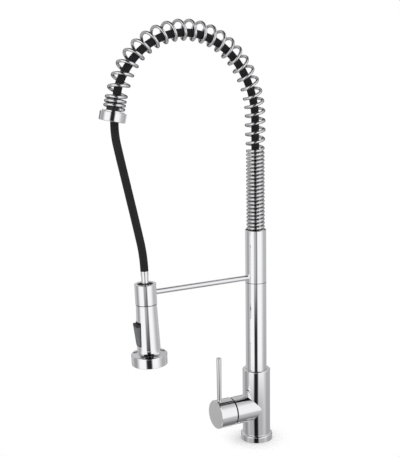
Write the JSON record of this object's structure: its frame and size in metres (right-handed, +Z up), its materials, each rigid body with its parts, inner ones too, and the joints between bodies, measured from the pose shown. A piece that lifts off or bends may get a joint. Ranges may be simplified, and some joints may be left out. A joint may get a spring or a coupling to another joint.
{
  "type": "pull-out kitchen mixer tap",
  "caption": "Tall chrome single-lever kitchen mixer tap with a spring-wound arched hose, a support arm and a pull-out spray head with a trigger, mounted on a round deck flange.",
  "frame": {"origin": "centre of the base on the deck surface, on the column's axis", "axes": "+Z up along the column; -Y towards the spray head, the valve and the lever; +X to the side"},
  "size_m": [0.0524, 0.2708, 0.6378],
  "materials": {
    "chrome": "polished chrome plating",
    "dark_plastic": "matte black",
    "grey_plastic": "satin grey",
    "hose_rubber": "smooth matte black",
    "seal_rubber": "matte",
    "brass": "turned",
    "steel": "plain stainless",
    "ceramic": "lapped ceramic"
  },
  "bodies": {
    "base": {"base_flange": "chrome", "base_gasket": "seal_rubber", "mixer_body": "chrome", "lower_swivel_bush": "grey_plastic", "upper_swivel_bush": "grey_plastic", "swivel_screw": "steel", "cartridge_base": "dark_plastic", "port_seals": "seal_rubber", "fixed_disc": "ceramic", "cartridge_housing": "dark_plastic", "cartridge_nut": "brass", "dome_cover": "chrome"},
    "mixing": {"rotor": "dark_plastic", "stem_pin": "steel"},
    "lever": {"stem": "brass", "handle_cap": "chrome", "lever_pin": "chrome", "set_screw": "steel", "screw_plug": "grey_plastic"},
    "disc": {"moving_disc": "ceramic", "disc_carrier": "dark_plastic"},
    "spout": {"riser_tube": "chrome", "swivel_seals": "seal_rubber", "joint_ring": "dark_plastic", "upper_sleeve": "chrome", "arm_rod": "chrome", "head_holder": "chrome", "holder_liner": "dark_plastic", "spout_spring": "chrome", "hose_tail": "brass", "hose_inner": "hose_rubber", "spring_collar": "chrome", "guide_bush": "dark_plastic"},
    "hose_end": {"hose_ferrule": "chrome", "hose_free": "hose_rubber"},
    "head": {"head_shell": "chrome", "head_core": "dark_plastic", "head_nut": "dark_plastic", "hose_washer": "seal_rubber", "check_valve": "grey_plastic", "spray_face": "grey_plastic", "nozzle_plate": "seal_rubber", "aerator": "grey_plastic", "trigger_pin": "steel", "trigger_bezel": "dark_plastic", "return_spring": "steel"},
    "trigger": {"trigger": "grey_plastic"},
    "diverter": {"diverter_pin": "steel"}
  },
  "joints": [
    {"name": "spout_swivel", "type": "hinge", "parent": "base", "child": "spout", "pos_m": [0, 0, 0.1126], "axis": [0, 0, 1], "continuous": true},
    {"name": "temperature", "type": "hinge", "parent": "base", "child": "mixing", "pos_m": [0, -0.039, 0.0515], "axis": [0, -1, 0], "range_deg": [-45, 45]},
    {"name": "flow", "type": "hinge", "parent": "mixing", "child": "lever", "pos_m": [0, -0.039, 0.0515], "axis": [1, 0, 0], "range_deg": [0, 16]},
    {"name": "disc_slide", "type": "slide", "parent": "mixing", "child": "disc", "axis": [0, 0, 1], "range_m": [0, 0.0027]},
    {"name": "head_pull", "type": "slide", "parent": "spout", "child": "hose_end", "axis": [0, 0.0349, -0.9994], "range_m": [0, 0.1], "stiffness_N_per_m": 40, "springref_m": -0.12, "deforming": ["hose_free"]},
    {"name": "head_swivel", "type": "hinge", "parent": "hose_end", "child": "head", "pos_m": [0, -0.1843, 0.2452], "axis": [0, -0.0349, 0.9994], "continuous": true},
    {"name": "trigger_press", "type": "hinge", "parent": "head", "child": "trigger", "pos_m": [0, -0.19054, 0.18584], "axis": [-1, 0, 0], "range_deg": [0, 5], "stiffness_Nm_per_rad": 0.5, "springref_deg": -5.73},
    {"name": "diverter_slide", "type": "slide", "parent": "head", "child": "diverter", "axis": [0, 0.9994, 0.0349], "range_m": [0, 0.00217], "deforming": ["return_spring"]}
  ],
  "couplings": [
    {"joint": "disc_slide", "follows": "flow", "m_per_rad": 0.0096},
    {"joint": "diverter_slide", "follows": "trigger_press", "m_per_rad": 0.0247}
  ]
}
